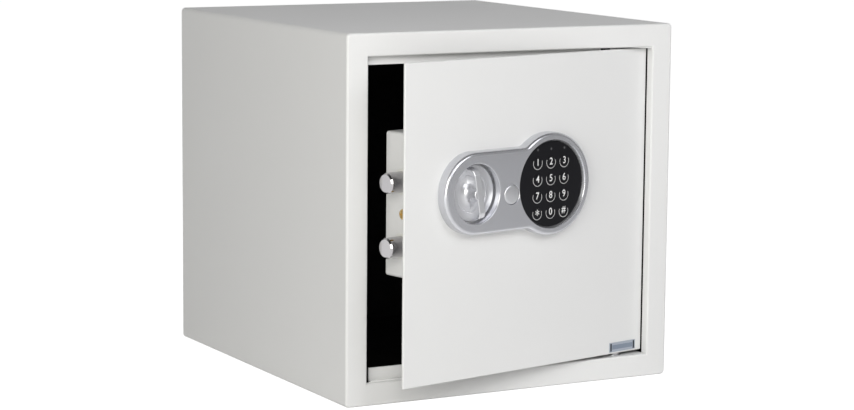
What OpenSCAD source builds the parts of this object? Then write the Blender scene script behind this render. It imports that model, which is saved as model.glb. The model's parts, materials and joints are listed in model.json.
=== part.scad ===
// Electronic safe with a pivot-hung door standing ajar, a keypad, a knob drive and two round bolts.
// Millimetres, +Z up. The origin is the middle of the base, and the front faces -Y.
// Door parts are drawn on the closed door: X along the door, Y as depth behind its front face and
// Z as height above the base. on_door() swings them to the angle at which the door stands.

/* [Body] */
// Width of the body
body_w = 366; // [350:1:450]
// Depth of the body
body_d = 396; // [300:1:480]
// Height of the body
body_h = 360; // [340:1:450]
// Thickness of the folded sheet
sheet = 2; // [1.5:0.1:3]
// Outside radius of the long edges
edge_r = 4.5; // [3.5:0.1:7]
// Width of the face rails around the door
rail_w = 23; // [21:0.5:30]
// Height of the stop below the upper rail
stop_high = 8.2; // [6:0.1:14]
// Height of the stop above the lower rail
stop_low = 12.5; // [8:0.5:16]
// Gap left at the lower corner of the stop, where the folds meet
corner_gap = 6.5; // [4:0.5:9]
// Distance that the strike channel stands in from its rail
strike_lip = 0.8; // [0:0.1:1.2]
// Thickness of the carpet lining
lining_t = 2; // [1.5:0.5:4]
// Radius of an anchor hole
anchor_r = 6; // [4:0.5:8]
// Distance between the two anchor holes
anchor_pitch = 200; // [120:5:260]
// Radius of the opening in the lining over an anchor hole
lining_hole_r = 14; // [10:0.5:20]

/* [Door] */
// Thickness of the door plate
door_t = 3; // [2.5:0.5:5]
// Gap beside and above the door
door_gap = 1.5; // [1.4:0.1:3]
// Gap below the door
door_gap_low = 3.2; // [2:0.1:4]
// Depth of the closed door behind the face rails
door_recess = 4; // [2:0.5:8]
// Angle at which the door stands open
door_open = 12; // [5:0.5:40]
// Distance of the hinge axis from the hinged edge of the door
hinge_inset = 30; // [28:0.5:40]
// Radius of a hinge pin
pin_r = 3; // [2.5:0.1:3.2]
// Radius of the collar on a hinge pin
collar_r = 5.5; // [4.5:0.1:6.5]
// Width of the hinge post
post_w = 16; // [12:0.5:20]
// Depth that a hinge pin reaches into the post
pin_seat = 20; // [10:1:30]
// Thickness of a hinge plate
plate_t = 4; // [3:0.5:6]
// Length of a hinge plate along the rail
hinge_plate_w = 56; // [50:1:70]
// Depth of a hinge plate behind the face rail
hinge_plate_d = 24; // [20:1:30]
// Outside radius of a hinge bush
hinge_bush_r = 5; // [4.5:0.1:6]
// Width of the bare label plate
label_w = 36; // [20:1:40]
// Height of the bare label plate
label_h = 9.6; // [6:0.2:13]
// Height of the label plate above the lower edge of the door
label_rise = 2; // [0.5:0.1:20]
// Distance of the label plate from the hinged edge of the door
label_aside = 9; // [4:0.5:20]

/* [Escutcheon] */
// Distance of the knob axis from the free edge of the door
knob_from_edge = 81; // [78:0.1:90]
// Height of the knob axis above the lower edge of the door
knob_above = 181.4; // [130:0.1:220]
// Distance from the knob axis to the keypad axis
pad_spacing = 98; // [96:0.1:104]
// Height of the keypad axis above the knob axis
pad_rise = 1.7; // [0:0.1:3]
// Radius of the round end over the knob
lobe_r = 40; // [38:0.5:44]
// Radius of the round end around the keypad
pad_lobe_r = 50.6; // [49:0.1:55]
// Height of the escutcheon over the door
cover_rise = 11.8; // [10.5:0.1:13]
// Wall of the escutcheon
wall = 2.2; // [1.6:0.1:2.4]
// Radius of the knob well
well_r = 28.8; // [28.5:0.1:32]
// Radius of the keypad fascia
fascia_r = 41.8; // [41.2:0.1:43]
// Depth of the fascia below the face of the escutcheon
fascia_drop = 3; // [2:0.1:3.4]
// Width of the slope from the face of the escutcheon down to the fascia
fascia_slope = 1.8; // [1:0.1:2.2]
// Distance between key columns
key_step_x = 17.6; // [17:0.1:17.8]
// Distance between key rows
key_step_z = 16.5; // [15.5:0.1:16.6]
// Height of the middle of the key rows above the keypad axis, below it if negative
key_shift = -3.6; // [-4.7:0.1:-3]
// Radius of a key
key_r = 5.5; // [5:0.1:5.6]
// Travel of a key
key_travel = 0.7; // [0.4:0.1:0.7]
// Height of the indicator row above the keypad axis
lamp_row = 34.3; // [33.5:0.1:35.4]
// Radius of an indicator lens
lamp_r = 1.1; // [0.8:0.1:1.5]

/* [Knob drive] */
// Radius of the knob disc
knob_r = 27.2; // [26:0.1:27.9]
// Angle by which the knob leans from upright
knob_lean = 10; // [0:1:20]
// Length of the grip bar at its foot
grip_l = 52; // [44:1:54]
// Width of the grip bar
grip_w = 7.5; // [5:0.5:10]
// Height of the grip bar over the door
grip_rise = 16.1; // [14:0.1:18]
// Radius of the knob spindle
spindle_r = 5; // [4:0.1:5.5]
// Travel of the bolts
bolt_travel = 17; // [12:0.5:17.5]
// Angle through which the knob turns
knob_turn = 80; // [70:1:90]
// Radius of the crank pin
crank_pin_r = 2.5; // [2:0.1:3]

/* [Bolts] */
// Radius of a bolt
bolt_r = 10; // [8:0.1:10.2]
// Length of a bolt
bolt_l = 78; // [74:1:82]
// Distance between the two bolts
bolt_pitch = 62; // [58:1:70]
// Distance of the lower bolt below the knob axis
bolt_drop = 50.1; // [44:0.1:54]
// Depth of the bolt axes behind the door face
bolt_depth = 30.5; // [29:0.5:32]
// Distance of the withdrawn bolt tips from the free edge of the door
tip_inset = 2; // [1.5:0.1:3]
// Thickness of the bolt carrier
carrier_t = 3; // [2:0.5:3]
// Radius of the flange on a bolt bush
bush_flange_r = 12.5; // [12:0.1:15]

/* [Lock box] */
// Distance of the lock box from the free edge of the door
box_inset = 23; // [22:0.5:24]
// Room between the battery holder and the side of the lock box
box_room = 4; // [3.5:0.5:20]
// Height of the lock box
box_h = 139.5; // [137:0.5:150]
// Distance of the lower side of the lock box below the knob axis
box_drop = 81.1; // [79:0.1:83]
// Depth of the back of the lock box behind the door face
box_depth = 55.5; // [55:0.5:62]
// Wall of the lock box
box_wall = 1.2; // [0.8:0.1:1.6]
// Radius of the head on a side screw
side_screw_r = 5; // [4:0.5:6]
// Radius of a battery cell
cell_r = 7.2; // [6.8:0.1:7.4]
// Length of a battery cell
cell_l = 50.5; // [48:0.5:51]

/* [Hidden] */

// Clearances
run_gap = 0.05;   // round parts that turn or slide in each other
part_gap = 0.2;   // loose fits of fixed parts
free_gap = 0.3;   // moving faces that pass each other
slot_play = 0.45; // crank pin in its slot, each side

// Colours
paint = [0.90, 0.90, 0.88];
silver = [0.72, 0.73, 0.76];
steel = [0.62, 0.63, 0.65];
chrome = [0.85, 0.86, 0.88];
brass = [0.80, 0.66, 0.34];
black = [0.07, 0.07, 0.08];
felt = [0.10, 0.10, 0.10];
copper = [0.72, 0.42, 0.22];
board = [0.10, 0.35, 0.20];
nylon = [0.93, 0.93, 0.91];

// Body places
front_y = -body_d / 2;
rear_y = body_d / 2;
open_w = body_w - 2 * rail_w;
open_z0 = rail_w;
open_z1 = body_h - rail_w;
corner_in = max(edge_r - sheet, 0.5);
wall_x = body_w / 2 - sheet;

// Door places
door_y = front_y + door_recess;
door_w = open_w - 2 * door_gap;
door_z0 = open_z0 + door_gap_low;
door_z1 = open_z1 - door_gap;
door_h = door_z1 - door_z0;
free_x = -door_w / 2;
hinge_x = door_w / 2 - hinge_inset;
hinge_gap = 2.5;
hinge_depth = door_t + hinge_gap + pin_r;
hinge_y = door_y + hinge_depth;
stop_gap = 2.3;
stop_y = door_y + door_t + stop_gap;
hinge_cut_x = open_w / 2 - hinge_plate_w;
post_d = hinge_depth + pin_r + 2.5;
bush_flange_t = 0.8;

// Escutcheon and keypad places, with depths behind the door face
knob_x = free_x + knob_from_edge;
knob_z = door_z0 + knob_above;
pad_x = knob_x + pad_spacing;
pad_z = knob_z + pad_rise;
cap_r = 9.4;
cap_x = pad_x - fascia_r - fascia_slope - cap_r - 0.6;
cap_z = knob_z - 4.3;
stud_x = cap_x - 4.5;
stud_dz = 27.5;
fascia_face = fascia_drop - cover_rise;
fascia_t = 2;
fascia_wall = 0.8;
key_flange_r = key_r + 0.6;
key_flange_t = 0.6;
key_proud = 0.2;
board_y = fascia_face + fascia_t + 3.2;
board_t = 1.6;
switch_t = 0.6;

// Knob drive places
throw_r = bolt_travel / 2 / sin(knob_turn / 2);
crank_dx = throw_r * sin(knob_turn / 2);
crank_dz = throw_r * cos(knob_turn / 2);
spindle_end = 18;
crank_y0 = 8;
crank_t = 4;
knob_foot = 0.4;
knob_disc_t = 3.4;
dish_r = 19.1;
dish_drop = 1.4;
disc_top = knob_foot + knob_disc_t;
hub_rise = grip_rise - 0.2;
hub_r = 6.3;
hub_flare = 5;
grip_slope_h = 3;
grip_slope_l = 5;
grip_draft = 2;
spindle_seat = 8;

// Bolt places
bolt_z = [knob_z - bolt_drop, knob_z - bolt_drop + bolt_pitch];
bolt_mid_z = (bolt_z[0] + bolt_z[1]) / 2;
tip_x = free_x + tip_inset;
bolt_end_x = tip_x + bolt_l;
flat_l = 14;
carrier_y = bolt_depth - carrier_t / 2;
carrier_x0 = bolt_end_x - flat_l + 1;
carrier_x1 = knob_x + crank_dx + 9;
slot_z1 = knob_z + throw_r + crank_pin_r + 0.6;
carrier_z0 = bolt_z[0] - bolt_r + 1;
carrier_z1 = max(bolt_z[1] + bolt_r - 1, slot_z1 + 4);
strike_y = door_y + bolt_depth - bolt_r - 0.5;
rail_stud_aside = 8.5;
rail_stud_drop = 24.5;
rail_stud_x = cap_x - rail_stud_aside;
rail_stud_z = knob_z - rail_stud_drop;
rail_stud_r = 4;
tail_below = 11;
tail_above = 16.7;
tail_z0 = rail_stud_z - tail_below;
tail_z1 = rail_stud_z + tail_above;

// Lock box places
box_x0 = free_x + box_inset;
box_z0 = knob_z - box_drop;
box_z1 = box_z0 + box_h;
chassis_t = 2;
chassis_z0 = max(bolt_z[0] - bolt_r - 11, box_z0 + box_wall + part_gap);
chassis_z1 = min(bolt_z[1] + bolt_r + 11, box_z1 - box_wall - part_gap);
chassis_reach = bolt_depth + bolt_r + 4;
bush_body_r = bolt_r + 1.5;
bush_l = 11.5;
guide_x = carrier_x0 - bolt_travel - chassis_t - 1.8;
screw_r = 2.5;
carrier_screw_l = 7;
side_screw_step = 12;
side_screw_y = bolt_depth - 2.5;
bracket_drop = 22;
bracket_h = 20;
bracket_w = 20;
bracket_reach = bolt_depth + 8;

// Emergency lock places
barrel_r = 8;
rotor_r = 5.5;
cam_t = 2;
cam_l = 13;
plunger_r = 4;
barrel_end = bolt_depth - plunger_r - 0.5 - cam_t;

// Solenoid places
sol_x = cap_x + cam_l;
plunger_z0 = tail_z1 + free_gap;
collar_z = max(plunger_z0 + 5, cap_z + 3);
collar_h = 2;
plunger_lift = 3;
sol_z = collar_z + 16;
coil_r = 11;
coil_h = 22;
sol_w = 26;
sol_t = 2;
spring_turns = 6;
spring_wire = 0.45;
spring_r = plunger_r + 1.4;

// Supply places
cells = 4;
cell_step = 2 * cell_r + 1.1;
bay_wall = 1.2;
bay_w = cells * cell_step + 2 * bay_wall + 0.6;
bay_h = cell_l + 4.5;
bay_x0 = sol_x + sol_w / 2 + 1.8;
bay_x1 = bay_x0 + bay_w;
bay_above = 30;
bay_z0 = knob_z + bay_above - bay_h;
box_x1 = bay_x1 + box_room + box_wall;
bay_y1 = box_depth - box_wall;
bay_floor = bay_y1 - 2 * cell_r - 3.5;
lid_step = 4;
reset_aside = 23;
reset_above = 37.5;
reset_x = knob_x - reset_aside;
reset_z = knob_z + reset_above;
reset_r = 2.8;
reset_travel = 1.2;
reset_flange_y = box_depth - box_wall - part_gap;
main_board_y = max(box_depth - 9.5, chassis_reach + 1);
main_board_w = 40;
main_board_h = 22;
post_dx = 16;
post_dz = 7;

// Route of the keypad cable, from the keypad board through the door to the control board
cable_r = 2;
cable_aside = 30;
cable_end_aside = 12;
cable_above = 13;
cable_end_above = 7;
cable_x0 = pad_x + cable_aside;
cable_x1 = reset_x + cable_end_aside;
cable_z0 = pad_z + cable_above;
cable_z1 = reset_z + cable_end_above;
cable_y = 22;
cable_route = [[cable_x0, board_y + board_t, cable_z0], [cable_x0, cable_y, cable_z0],
    [cable_x0, cable_y, cable_z1], [cable_x1, cable_y, cable_z1], [cable_x1, main_board_y, cable_z1]];
cable_bend = 8;
cable_step = 10;

// Helpers

// Swings what is drawn on the closed door to the angle at which the door stands
module on_door() {
    translate([hinge_x, hinge_y, 0]) rotate([0, 0, door_open])
        translate([-hinge_x, door_y - hinge_y, 0]) children();
}

// Extrudes an outline drawn in X and Z from y0 to y1
module along_y(y0, y1) {
    translate([0, y1, 0]) rotate([90, 0, 0]) linear_extrude(y1 - y0) children();
}

// A rod along Y
module rod_y(r, y0, y1, x = 0, z = 0) {
    translate([x, y1, z]) rotate([90, 0, 0]) cylinder(r = r, h = y1 - y0, $fn = 64);
}

// A tube along Y
module tube_y(r, bore, y0, y1, x = 0, z = 0) {
    difference() {
        rod_y(r, y0, y1, x, z);
        rod_y(bore, y0 - 1, y1 + 1, x, z);
    }
}

// A rod along X
module rod_x(r, x0, x1, y = 0, z = 0) {
    translate([x0, y, z]) rotate([0, 90, 0]) cylinder(r = r, h = x1 - x0, $fn = 64);
}

// A block between two opposite corners
module block(a, b) {
    translate(a) cube(b - a);
}

// A centred rectangle with round corners
module round_rect(w, h, r) {
    square([w - 2 * r, h], center = true);
    square([w, h - 2 * r], center = true);
    for (sx = [-1, 1], sy = [-1, 1])
        translate([sx * (w / 2 - r), sy * (h / 2 - r)]) circle(r = r, $fn = 48);
}

// A rectangle from one corner to the other
module rect(x0, z0, x1, z1) {
    translate([x0, z0]) square([x1 - x0, z1 - z0]);
}

function unit(v) = v / norm(v);
function tangents(p) = [for (i = [0 : len(p) - 1])
    unit(p[min(i + 1, len(p) - 1)] - p[max(i - 1, 0)])];
function carry(n, t) = unit(n - (n * t) * t);
function side_vectors(t, n, i = 0) =
    i == len(t) ? [] : let (m = carry(n, t[i])) concat([m], side_vectors(t, m, i + 1));

// Rounds the corners of a route
function rounded(p, bend, steps = 5) = concat([p[0]],
    [for (i = [1 : len(p) - 2], s = [0 : steps])
        let (u = s / steps, a = p[i] + bend * unit(p[i - 1] - p[i]), b = p[i] + bend * unit(p[i + 1] - p[i]))
        (1 - u) * (1 - u) * a + 2 * u * (1 - u) * p[i] + u * u * b],
    [p[len(p) - 1]]);

// Adds points between those that lie more than one step apart
function spread(p, step) = concat([for (i = [0 : len(p) - 2])
    let (parts = max(1, round(norm(p[i + 1] - p[i]) / step)))
    for (k = [0 : parts - 1]) p[i] + (p[i + 1] - p[i]) * k / parts], [p[len(p) - 1]]);

// Sweeps a round section along a path
module sweep(path, r, sides, first) {
    t = tangents(path);
    n = side_vectors(t, first);
    rings = len(path);
    points = [for (i = [0 : rings - 1], k = [0 : sides - 1])
        path[i] + r * cos(360 * k / sides) * n[i] + r * sin(360 * k / sides) * cross(t[i], n[i])];
    walls = [for (i = [0 : rings - 2], k = [0 : sides - 1])
        let (a = i * sides + k, b = i * sides + (k + 1) % sides)
        each [[a, a + sides, b], [b, a + sides, b + sides]]];
    caps = [for (k = [1 : sides - 2], last = (rings - 1) * sides)
        each [[0, k, k + 1], [last, last + k + 1, last + k]]];
    polyhedron(points = points, faces = concat(walls, caps));
}

// Body

module anchor_pair(r, h) {
    for (s = [-1, 1]) translate([s * anchor_pitch / 2, 0, -1]) cylinder(r = r, h = h + 2, $fn = 48);
}

module rear_anchor_pair(r, y0) {
    for (s = [-1, 1]) rod_y(r, y0, rear_y + 1, s * anchor_pitch / 2, body_h / 2);
}

module body_shell() color(paint) difference() {
    translate([0, 0, body_h / 2]) along_y(front_y + sheet, rear_y - sheet) difference() {
        round_rect(body_w, body_h, edge_r);
        round_rect(body_w - 2 * sheet, body_h - 2 * sheet, corner_in);
    }
    anchor_pair(anchor_r, sheet);
}

module rear_panel() color(paint) difference() {
    translate([0, 0, body_h / 2]) along_y(rear_y - sheet, rear_y) round_rect(body_w, body_h, edge_r);
    rear_anchor_pair(anchor_r, rear_y - sheet - 1);
}

module opening_rect(grow = 0) {
    rect(-open_w / 2 - grow, open_z0 - grow, open_w / 2 + grow, open_z1 + grow);
}

module front_frame() color(paint) {
    along_y(front_y, front_y + sheet) difference() {
        translate([0, body_h / 2]) round_rect(body_w, body_h, edge_r);
        opening_rect();
    }
    difference() {
        along_y(front_y + sheet, stop_y) difference() {
            opening_rect(sheet);
            opening_rect();
            rect(hinge_cut_x, 0, open_w / 2, body_h);
        }
        // relief in the corner of the lower return
        translate([-open_w / 2, 0, open_z0 - sheet - 1]) linear_extrude(sheet + 2)
            polygon([[0, front_y + sheet + 1], [corner_gap, stop_y + 1], [0, stop_y + 1]]);
    }
    along_y(stop_y, stop_y + sheet) {
        rect(corner_gap - open_w / 2, open_z0 - sheet, hinge_cut_x, open_z0 + stop_low);
        rect(-open_w / 2 - sheet, open_z1 - stop_high, hinge_cut_x, open_z1 + sheet);
    }
}

module strike_channel() color(paint) {
    block([-open_w / 2 - sheet + strike_lip, stop_y + sheet, open_z0], [-open_w / 2 + strike_lip, strike_y, open_z1]);
    block([-open_w / 2 - sheet + strike_lip, strike_y - sheet, open_z0],
        [corner_gap + 1 - open_w / 2, strike_y, open_z0 + stop_low]);
    block([-wall_x, strike_y - sheet, open_z0], [-open_w / 2 + strike_lip, strike_y, open_z1]);
    block([-open_w / 2 - sheet, stop_y, open_z0], [-open_w / 2, stop_y + sheet, open_z1 - stop_high]);
}

module hinge_plates() color(paint) for (z = [open_z0 - plate_t, open_z1]) difference() {
    block([hinge_cut_x, front_y + sheet, z], [open_w / 2, front_y + sheet + hinge_plate_d, z + plate_t]);
    translate([hinge_x, hinge_y, z - 1]) cylinder(r = hinge_bush_r + run_gap, h = plate_t + 2, $fn = 64);
}

// A flanged bush whose flange faces the door
module hinge_bush() difference() {
    union() {
        cylinder(r = hinge_bush_r, h = plate_t, $fn = 64);
        translate([0, 0, -bush_flange_t]) cylinder(r = hinge_bush_r + 2, h = bush_flange_t, $fn = 64);
    }
    translate([0, 0, -bush_flange_t - 1]) cylinder(r = pin_r + run_gap, h = plate_t + bush_flange_t + 2, $fn = 64);
}

module hinge_bushes() color(steel) {
    translate([hinge_x, hinge_y, open_z1]) hinge_bush();
    translate([hinge_x, hinge_y, open_z0]) mirror([0, 0, 1]) hinge_bush();
}

// Lining

lining_y0 = strike_y + 4;
lining_y1 = rear_y - sheet - lining_t - part_gap;
lining_x = wall_x - lining_t - 0.6;
lining_in = sheet + corner_in + 0.1;

module side_linings() color(felt) for (s = [-1, 1])
    block([min(s * wall_x, s * (wall_x - lining_t)), lining_y0, lining_in],
        [max(s * wall_x, s * (wall_x - lining_t)), rear_y - sheet, body_h - lining_in]);

module top_lining() color(felt)
    block([-lining_x, lining_y0, body_h - sheet - lining_t], [lining_x, lining_y1, body_h - sheet]);

module rear_lining() color(felt) difference() {
    block([-lining_x, rear_y - sheet - lining_t, lining_in], [lining_x, rear_y - sheet, body_h - lining_in]);
    rear_anchor_pair(lining_hole_r, rear_y - sheet - lining_t - 1);
}

module floor_mat() color(felt) difference() {
    block([-lining_x, lining_y0, sheet], [lining_x, lining_y1, sheet + lining_t]);
    anchor_pair(lining_hole_r, sheet + lining_t);
}

// Door

module door_panel() on_door() color(paint) difference() {
    along_y(0, door_t) rect(free_x, door_z0, -free_x, door_z1);
    rod_y(spindle_r + 2 + run_gap, -1, door_t + 1, knob_x, knob_z);
    rod_y(barrel_r + part_gap / 2, -1, door_t + 1, cap_x, cap_z);
    rod_y(cable_r + 4, -1, door_t + 1, cable_x0, cable_z0);
    for (s = [-1, 1]) rod_y(3 + part_gap / 2, -1, door_t + 1, stud_x, knob_z + s * stud_dz);
}

module hinge_post() on_door() color(paint) difference() {
    block([hinge_x - post_w / 2, door_t, door_z0], [hinge_x + post_w / 2, post_d, door_z1]);
    for (z = [door_z0 - 1, door_z1 - pin_seat])
        translate([hinge_x, hinge_depth, z]) cylinder(r = pin_r + run_gap, h = pin_seat + 1, $fn = 64);
}

module hinge_pins() on_door() color(chrome) translate([hinge_x, hinge_depth, 0]) {
    translate([0, 0, open_z0 - plate_t]) cylinder(r = pin_r, h = door_z0 + pin_seat - 1 - open_z0 + plate_t, $fn = 64);
    translate([0, 0, open_z0 + bush_flange_t + 0.1])
        cylinder(r = collar_r, h = door_z0 - open_z0 - bush_flange_t - 0.1, $fn = 64);
    translate([0, 0, door_z1 - pin_seat]) cylinder(r = pin_r, h = pin_seat + open_z1 - door_z1 + plate_t, $fn = 64);
    translate([0, 0, door_z1]) cylinder(r = collar_r, h = open_z1 - door_z1 - bush_flange_t - 0.1, $fn = 64);
}

module label_plate() on_door() color(silver)
    along_y(-0.6, 0) translate([-free_x - label_aside - label_w / 2, door_z0 + label_rise + label_h / 2])
        square([label_w, label_h], center = true);

// Escutcheon and keypad

// Outline of the escutcheon, drawn in by inset
module cover_outline(inset = 0) {
    translate([knob_x, knob_z]) circle(r = lobe_r - inset, $fn = 96);
    translate([pad_x, pad_z]) circle(r = pad_lobe_r - inset, $fn = 96);
    rect(knob_x, knob_z - lobe_r + inset, pad_x, knob_z + lobe_r - inset);
}

module escutcheon() on_door() color(silver) difference() {
    union() {
        along_y(-cover_rise, 0) difference() {
            cover_outline();
            cover_outline(wall + 0.3);
        }
        along_y(-cover_rise, wall - cover_rise) cover_outline();
        rod_y(well_r + wall, -cover_rise, 0, knob_x, knob_z);
        rod_y(fascia_r + part_gap + wall * 0.8, -cover_rise, 0, pad_x, pad_z);
        rod_y(cap_r + free_gap + 1.7, -cover_rise, 0, cap_x, cap_z);
        for (s = [-1, 1]) rod_y(3, -cover_rise + 1, door_t, stud_x, knob_z + s * stud_dz);
    }
    rod_y(well_r, -cover_rise - 1, 1, knob_x, knob_z);
    rod_y(fascia_r + part_gap, -cover_rise - 1, 1, pad_x, pad_z);
    translate([pad_x, fascia_face, pad_z]) rotate([90, 0, 0])
        cylinder(r1 = fascia_r + part_gap, r2 = fascia_r + part_gap + fascia_slope * (fascia_drop + 0.1) / fascia_drop,
            h = fascia_drop + 0.1, $fn = 128);
    rod_y(cap_r + free_gap, -cover_rise - 1, 1, cap_x, cap_z);
}

function key_x(i) = pad_x + (i % 3 - 1) * key_step_x;
function key_z(i) = pad_z + key_shift + (1.5 - floor(i / 3)) * key_step_z;

module keypad_fascia() on_door() color(black) difference() {
    rod_y(fascia_r, fascia_face, 0, pad_x, pad_z);
    rod_y(fascia_r - fascia_wall, fascia_face + fascia_t, 1, pad_x, pad_z);
    for (i = [0 : 11]) rod_y(key_r + free_gap, fascia_face - 1, fascia_face + fascia_t + 1, key_x(i), key_z(i));
    for (i = [-1 : 1])
        rod_y(lamp_r + run_gap, fascia_face - 1, fascia_face + fascia_t + 1,
            pad_x + i * key_step_x, pad_z + lamp_row);
}

module indicator_lenses() on_door() color([0.20, 0.04, 0.04]) for (i = [-1 : 1])
    rod_y(lamp_r, fascia_face, fascia_face + fascia_t + 0.6, pad_x + i * key_step_x, pad_z + lamp_row);

module keypad_board() on_door() color(board)
    rod_y(fascia_r - fascia_wall - part_gap, board_y, board_y + board_t, pad_x, pad_z);

module key_switches() on_door() color(steel) for (i = [0 : 11])
    rod_y(3, board_y - switch_t, board_y, key_x(i), key_z(i));

// One key: its cap, the flange behind the fascia and the stem over its switch
module key(i) on_door() color(black) {
    flange_y = fascia_face + fascia_t + part_gap;
    rod_y(key_r, fascia_face - key_proud, flange_y, key_x(i), key_z(i));
    rod_y(key_flange_r, flange_y, flange_y + key_flange_t, key_x(i), key_z(i));
    rod_y(2.5, flange_y + key_flange_t, board_y - switch_t - key_travel - 0.1, key_x(i), key_z(i));
}

// Knob drive

module knob() on_door() color(silver) translate([knob_x, 0, knob_z]) rotate([0, -knob_lean, 0]) difference() {
    union() {
        rotate([90, 0, 0]) rotate_extrude($fn = 96) polygon([[0, knob_foot], [knob_r, knob_foot],
            [knob_r, disc_top - 0.5], [knob_r - 0.5, disc_top], [dish_r, disc_top],
            [dish_r - 0.7, disc_top - dish_drop], [dish_r - 4, disc_top - dish_drop + 0.1],
            [hub_r + hub_flare, disc_top - 0.2], [hub_r + hub_flare / 2, disc_top + 1.4],
            [hub_r + 1.3, disc_top + 4], [hub_r + 0.6, hub_rise - 5], [hub_r, hub_rise - 0.6],
            [hub_r - 0.6, hub_rise], [0, hub_rise]]);
        translate([-grip_w / 2, 0, 0]) rotate([90, 0, 90]) linear_extrude(grip_w)
            polygon([[-knob_foot - 1, -grip_l / 2], [-knob_foot - 1, grip_l / 2],
                [grip_slope_h - grip_rise, grip_l / 2 - grip_draft],
                [-grip_rise, grip_l / 2 - grip_draft - grip_slope_l],
                [-grip_rise, grip_draft + grip_slope_l - grip_l / 2],
                [grip_slope_h - grip_rise, grip_draft - grip_l / 2]]);
    }
    rod_y(spindle_r + run_gap, -spindle_seat, 1);
}

module knob_spindle() on_door() color(steel) rod_y(spindle_r, -spindle_seat, spindle_end, knob_x, knob_z);

module spindle_bush() on_door() color(nylon) {
    tube_y(spindle_r + 2, spindle_r + run_gap, 0, door_t, knob_x, knob_z);
    tube_y(spindle_r + 5, spindle_r + run_gap, door_t, door_t + 1.5, knob_x, knob_z);
}

module crank() on_door() color(steel) translate([knob_x, 0, knob_z]) {
    difference() {
        along_y(crank_y0, crank_y0 + crank_t) {
            circle(r = spindle_r + 4, $fn = 64);
            translate([crank_dx, crank_dz]) circle(r = crank_pin_r + 3, $fn = 48);
            rotate(knob_turn / -2) translate([-crank_pin_r - 2, 0]) square([2 * crank_pin_r + 4, throw_r]);
        }
        rod_y(spindle_r + run_gap, crank_y0 - 1, crank_y0 + crank_t + 1);
    }
    rod_y(crank_pin_r, crank_y0 + crank_t, carrier_y + carrier_t + 2, crank_dx, crank_dz);
}

// Emergency lock

module lock_cap() on_door() color(silver) translate([cap_x, 0, cap_z]) rotate([90, 0, 0])
    rotate_extrude($fn = 64) polygon([[0, cover_rise - 3], [cap_r, cover_rise - 3], [cap_r, cover_rise - 0.4],
        [cap_r - 1.4, cover_rise], [0, cover_rise]]);

module lock_barrel() on_door() color(chrome) {
    tube_y(barrel_r, rotor_r + run_gap, 0, barrel_end, cap_x, cap_z);
    tube_y(cap_r, rotor_r + run_gap, -2.5, 0, cap_x, cap_z);
}

module lock_nut() on_door() color(steel) along_y(door_t, door_t + 3) translate([cap_x, cap_z]) difference() {
    circle(r = barrel_r + 4, $fn = 6);
    circle(r = barrel_r + run_gap, $fn = 64);
}

module lock_rotor() on_door() color(brass) difference() {
    rod_y(rotor_r, -2.5, barrel_end, cap_x, cap_z);
    block([cap_x - 1, -3.5, cap_z - 4], [cap_x + 1, 15, cap_z + 4]);
}

module lock_cam() on_door() color(steel) along_y(barrel_end, barrel_end + cam_t) translate([cap_x, cap_z]) {
    circle(r = rotor_r + 1, $fn = 64);
    rect(-2.5, -cam_l, 2.5, 0);
}

// Bolt work

module lock_chassis() on_door() color(steel) {
    z0 = chassis_z0;
    z1 = chassis_z1;
    x0 = box_x0 + box_wall;
    difference() {
        union() {
            block([x0, door_t, z0], [knob_x - spindle_r - 7, door_t + chassis_t, z1]);
            block([x0, door_t, z0], [x0 + chassis_t, chassis_reach, z1]);
            block([guide_x, door_t, z0], [guide_x + chassis_t, chassis_reach, z1]);
        }
        for (z = bolt_z) {
            rod_x(bush_body_r + run_gap, x0 - 1, x0 + chassis_t + 1, bolt_depth, z);
            rod_x(bolt_r + run_gap, guide_x - 1, guide_x + chassis_t + 1, bolt_depth, z);
        }
        rod_x(screw_r + run_gap, x0 - 1, x0 + chassis_t + 1, side_screw_y, bolt_mid_z);
    }
    difference() {
        union() {
            block([box_x1 - box_wall - chassis_t, door_t, bolt_mid_z - bracket_drop],
                [box_x1 - box_wall, bracket_reach, bolt_mid_z - bracket_drop + bracket_h]);
            block([box_x1 - box_wall - bracket_w, door_t, bolt_mid_z - bracket_drop],
                [box_x1 - box_wall, door_t + chassis_t, bolt_mid_z - bracket_drop + bracket_h]);
        }
        rod_x(screw_r + run_gap, box_x1 - box_wall - 3, box_x1, side_screw_y,
            bolt_mid_z - side_screw_step);
    }
}

module guide_stud() on_door() color(steel) {
    rod_y(rail_stud_r + 3, door_t, carrier_y - free_gap, rail_stud_x, rail_stud_z);
    rod_y(rail_stud_r, carrier_y - free_gap, carrier_y + carrier_t + free_gap, rail_stud_x, rail_stud_z);
    rod_y(rail_stud_r + 3, carrier_y + carrier_t + free_gap, carrier_y + carrier_t + 3, rail_stud_x, rail_stud_z);
}

module bolt_carrier() on_door() color(steel) difference() {
    along_y(carrier_y, carrier_y + carrier_t) difference() {
        union() {
            rect(carrier_x0, carrier_z0, carrier_x1, carrier_z1);
            rect(carrier_x0, tail_z0, sol_x + bolt_travel + 9.5, tail_z1);
        }
        rect(rail_stud_x - rail_stud_r - free_gap, rail_stud_z - rail_stud_r - free_gap,
            rail_stud_x + bolt_travel + rail_stud_r + free_gap, rail_stud_z + rail_stud_r + free_gap);
        rect(sol_x + bolt_travel - plunger_r - 0.5, tail_z1 - 5, sol_x + bolt_travel + plunger_r + 0.5, tail_z1 + 1);
        rect(knob_x + crank_dx - crank_pin_r - slot_play, knob_z + crank_dz - crank_pin_r - 0.6,
            knob_x + crank_dx + crank_pin_r + slot_play, slot_z1);
    }
    for (z = bolt_z)
        rod_y(screw_r + run_gap, carrier_y - 1, carrier_y + carrier_t + 1, bolt_end_x - flat_l / 2, z);
}

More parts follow.
